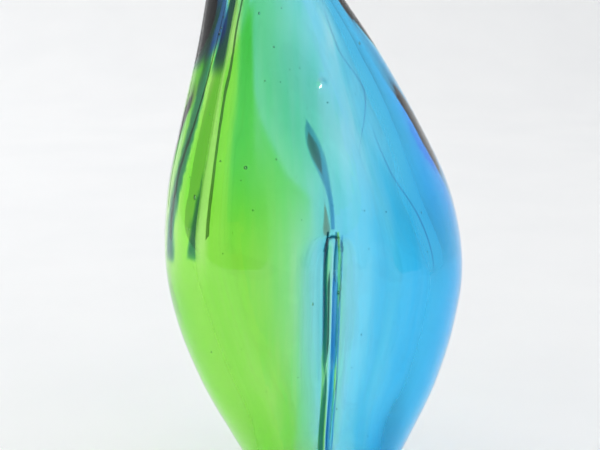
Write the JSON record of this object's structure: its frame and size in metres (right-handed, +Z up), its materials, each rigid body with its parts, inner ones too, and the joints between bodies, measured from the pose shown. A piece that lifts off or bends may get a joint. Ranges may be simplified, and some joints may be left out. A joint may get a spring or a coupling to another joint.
{
  "type": "vase",
  "caption": "Hand-blown two-lobed glass vase in green and blue cased in clear, creased down the front, with a leaning neck and a flared lip.",
  "frame": {"origin": "centre of the ground flat that the vase stands on", "axes": "+Z up through the lip, -Y out of the creased face, +X from the green lobe towards the blue lobe"},
  "size_m": [0.1279, 0.0815, 0.3249],
  "materials": {
    "casing_glass": "clear, fire polished",
    "blue_glass": "transparent blue, fused",
    "green_glass": "transparent green, fused",
    "core_glass": "clear, fused",
    "fold_glass": "transparent dark teal, fused"
  },
  "bodies": {
    "root": {"clear_casing": "casing_glass", "blue_layer": "blue_glass", "green_layer": "green_glass", "clear_core": "core_glass", "fold_tail": "fold_glass"}
  },
  "joints": []
}
